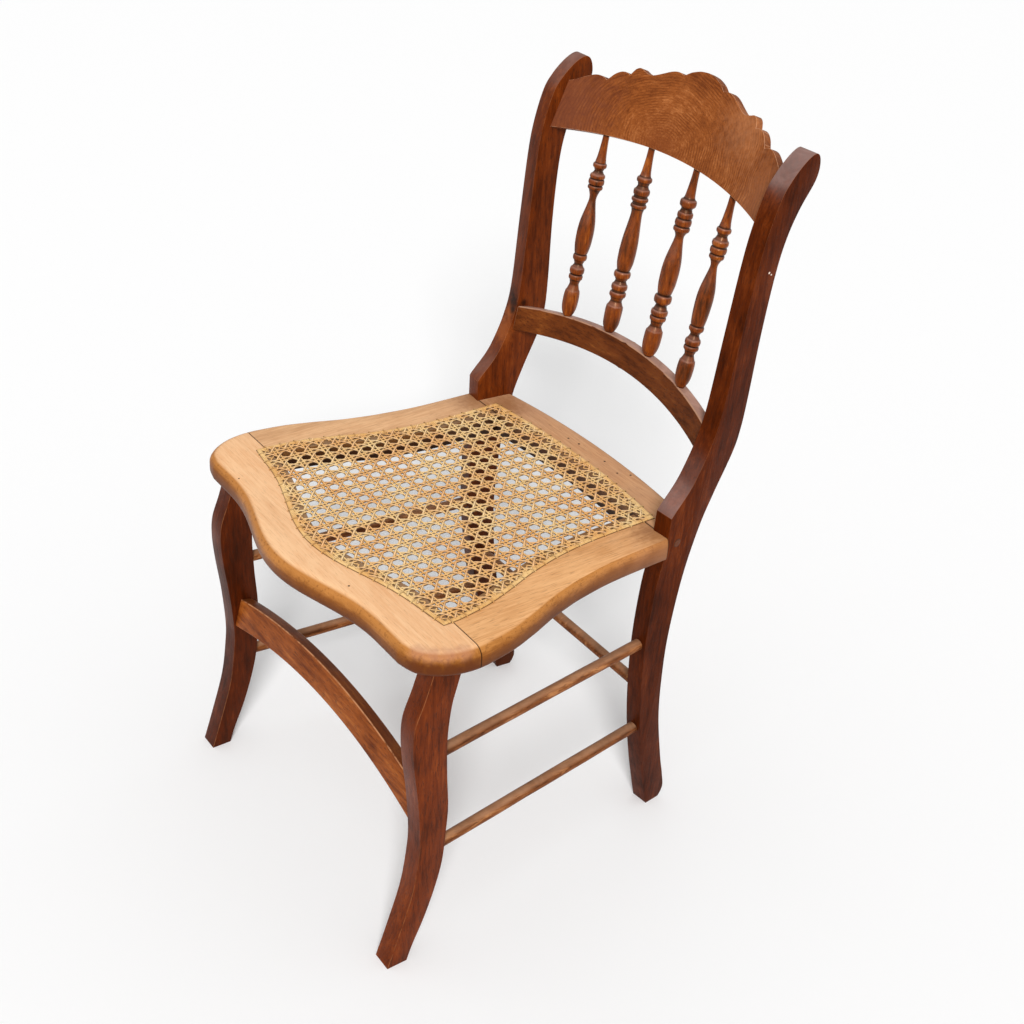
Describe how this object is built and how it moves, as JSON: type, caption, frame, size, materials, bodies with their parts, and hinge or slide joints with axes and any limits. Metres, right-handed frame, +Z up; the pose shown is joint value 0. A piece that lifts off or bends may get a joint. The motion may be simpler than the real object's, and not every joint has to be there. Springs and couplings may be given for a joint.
{
  "type": "cane seat side chair",
  "caption": "Wooden side chair with a caned seat, cabriole-curved sawn legs, turned back spindles and a scalloped, bowed crest rail.",
  "frame": {"origin": "on the floor, at the centre of the chair's bounding box seen from above", "axes": "+X to the right of a viewer who faces the front, +Y from the seat's front towards the back, +Z up"},
  "size_m": [0.522, 0.5754, 0.9037],
  "materials": {
    "seat_wood": "satin varnish",
    "dark_wood": "semi-gloss dark stain",
    "brown_wood": "semi-gloss brown stain",
    "turned_wood": "semi-gloss reddish stain",
    "rod_wood": "satin brown stain",
    "cane": "natural cane, satin",
    "binder": "natural cane, glossy skin",
    "dowel_wood": "raw",
    "steel": "zinc plated"
  },
  "bodies": {
    "root": {"front_rail": "seat_wood", "side_rail_left": "seat_wood", "side_rail_right": "seat_wood", "back_rail": "seat_wood", "front_leg_left": "dark_wood", "front_leg_right": "dark_wood", "rear_post_left": "dark_wood", "rear_post_right": "dark_wood", "crest_rail": "brown_wood", "lower_back_rail": "dark_wood", "spindle_1": "turned_wood", "spindle_2": "turned_wood", "spindle_3": "turned_wood", "spindle_4": "turned_wood", "front_stretcher": "brown_wood", "back_stretcher": "rod_wood", "side_stretcher_upper_left": "rod_wood", "side_stretcher_lower_left": "rod_wood", "side_stretcher_upper_right": "rod_wood", "side_stretcher_lower_right": "rod_wood", "cane_panel": "cane", "cane_binder": "binder", "binder_ties": "binder", "seat_dowels": "dowel_wood", "post_screws": "steel", "screw_plugs": "dark_wood"}
  },
  "joints": []
}
